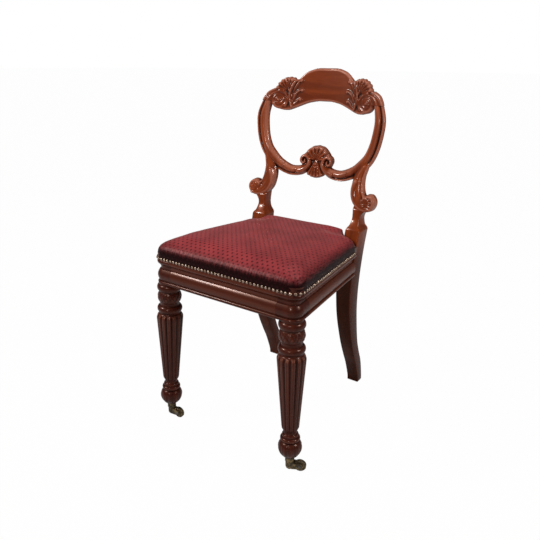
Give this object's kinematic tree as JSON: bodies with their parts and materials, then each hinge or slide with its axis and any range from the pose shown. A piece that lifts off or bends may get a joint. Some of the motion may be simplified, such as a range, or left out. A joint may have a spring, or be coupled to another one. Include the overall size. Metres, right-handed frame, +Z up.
{
  "type": "balloon back chair",
  "caption": "Side chair with a moulded balloon back, carved crest and cross rail, stuffed and nailed seat, turned reeded front legs on castors and swept rear legs.",
  "frame": {"origin": "on the floor, under the middle of the chair's bounding box", "axes": "+Z up, the chair faces -Y, +X to the right of someone looking at its front"},
  "size_m": [0.442, 0.495, 0.883],
  "materials": {
    "carved_mahogany": "french polished, warm red-brown",
    "turned_mahogany": "french polished, darker red-brown",
    "beech": "bare, matt",
    "screw_steel": "dull",
    "web": "woven jute, matt",
    "hessian": "coarse plain weave",
    "stuffing": "curled hair, matt",
    "crimson_cloth": "satin weave with small dark dots",
    "nail_brass": "polished domes",
    "castor_brass": "aged, dull",
    "pin_steel": "dull"
  },
  "bodies": {
    "chair": {"back_post_left": "carved_mahogany", "back_post_right": "carved_mahogany", "crest_rail": "carved_mahogany", "cross_rail": "carved_mahogany", "front_leg_left": "turned_mahogany", "front_leg_right": "turned_mahogany", "front_seat_rail": "turned_mahogany", "left_seat_rail": "turned_mahogany", "right_seat_rail": "turned_mahogany", "rear_seat_rail": "turned_mahogany", "corner_block_front_left": "beech", "corner_block_front_right": "beech", "corner_block_rear_left": "beech", "corner_block_rear_right": "beech", "rail_dowels": "beech", "crest_dowels": "beech", "cross_rail_dowels": "beech", "corner_block_screws": "screw_steel", "webbing_lengthwise": "web", "webbing_crosswise": "web", "hessian": "hessian", "seat_stuffing": "stuffing", "seat_cover": "crimson_cloth", "nails_front": "nail_brass", "nails_left": "nail_brass", "nails_right": "nail_brass", "castor_socket_left": "castor_brass", "castor_socket_right": "castor_brass", "castor_pintle_left": "pin_steel", "castor_pintle_right": "pin_steel"},
    "castor_swivel_left": {"castor_horn_left": "castor_brass", "castor_axle_left": "pin_steel"},
    "castor_wheel_body_left": {"castor_wheel_left": "castor_brass"},
    "castor_swivel_right": {"castor_horn_right": "castor_brass", "castor_axle_right": "pin_steel"},
    "castor_wheel_body_right": {"castor_wheel_right": "castor_brass"}
  },
  "joints": [
    {"name": "castor_turn_left", "type": "hinge", "parent": "chair", "child": "castor_swivel_left", "pos_m": [-0.18854, -0.22339, 0.02], "axis": [0, 0, 1], "continuous": true},
    {"name": "castor_roll_left", "type": "hinge", "parent": "castor_swivel_left", "child": "castor_wheel_body_left", "pos_m": [-0.16355, -0.22251, 0.0145], "axis": [-0.0349, 0.9994, 0], "continuous": true},
    {"name": "castor_turn_right", "type": "hinge", "parent": "chair", "child": "castor_swivel_right", "pos_m": [0.18854, -0.22339, 0.02], "axis": [0, 0, 1], "continuous": true},
    {"name": "castor_roll_right", "type": "hinge", "parent": "castor_swivel_right", "child": "castor_wheel_body_right", "pos_m": [0.21138, -0.21322, 0.0145], "axis": [-0.4067, 0.9135, 0], "continuous": true}
  ]
}
